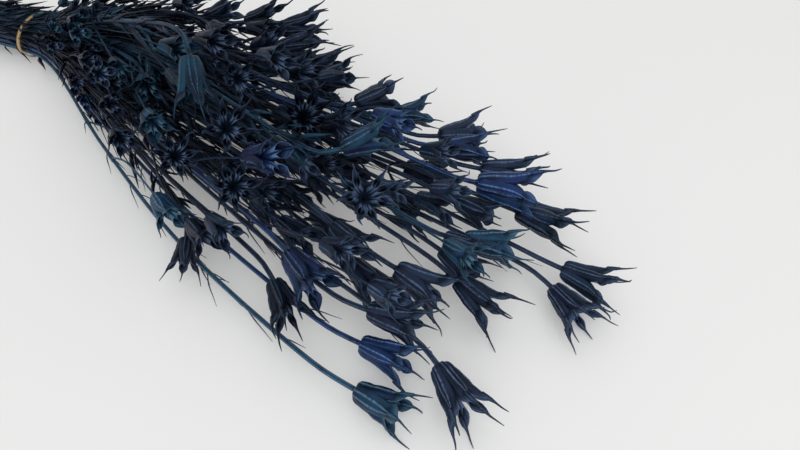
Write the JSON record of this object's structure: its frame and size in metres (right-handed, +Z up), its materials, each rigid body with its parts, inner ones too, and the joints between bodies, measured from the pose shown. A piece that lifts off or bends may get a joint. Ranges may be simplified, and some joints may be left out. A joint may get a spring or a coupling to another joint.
{
  "type": "bunch of dried nigella seed pods",
  "caption": "Bunch of dark blue dyed, dried nigella seed heads with long curved beaks, on branching stems tied with a tan rubber band and lying on its side.",
  "frame": {"origin": "on the resting surface, at the middle of the small flat spot under the rubber band", "axes": "+X along the bunch from the band towards the seed heads, +Y to the left, +Z up"},
  "size_m": [0.4961, 0.2245, 0.0819],
  "materials": {
    "navy_dyed": "satin",
    "royal_dyed": "satin",
    "teal_dyed": "satin",
    "rubber_tan": "matte"
  },
  "bodies": {
    "root": {"spray_01": "teal_dyed", "spray_02": "royal_dyed", "spray_03": "navy_dyed", "spray_04": "navy_dyed", "spray_05": "navy_dyed", "spray_06": "navy_dyed", "spray_07": "navy_dyed", "spray_08": "royal_dyed", "spray_09": "navy_dyed", "spray_10": "navy_dyed", "spray_11": "teal_dyed", "spray_12": "navy_dyed", "spray_13": "royal_dyed", "spray_14": "navy_dyed", "spray_15": "royal_dyed", "spray_16": "navy_dyed", "spray_17": "teal_dyed", "spray_18": "navy_dyed", "spray_19": "navy_dyed", "spray_20": "navy_dyed", "spray_21": "navy_dyed", "spray_22": "navy_dyed", "spray_23": "navy_dyed", "spray_24": "teal_dyed", "spray_25": "teal_dyed", "spray_26": "teal_dyed", "spray_27": "teal_dyed", "spray_28": "navy_dyed", "spray_29": "navy_dyed", "spray_30": "navy_dyed", "spray_31": "navy_dyed", "spray_32": "navy_dyed", "spray_33": "navy_dyed", "spray_34": "navy_dyed", "spray_35": "navy_dyed", "spray_36": "navy_dyed", "spray_37": "navy_dyed", "spray_38": "navy_dyed", "spray_39": "navy_dyed", "spray_40": "navy_dyed", "spray_41": "navy_dyed", "spray_42": "navy_dyed", "spray_43": "navy_dyed", "spray_44": "navy_dyed", "spray_45": "navy_dyed", "spray_46": "navy_dyed", "spray_47": "navy_dyed", "spray_48": "navy_dyed", "spray_49": "navy_dyed", "spray_50": "navy_dyed", "spray_51": "navy_dyed", "spray_52": "navy_dyed", "rubber_band": "rubber_tan"}
  },
  "joints": []
}
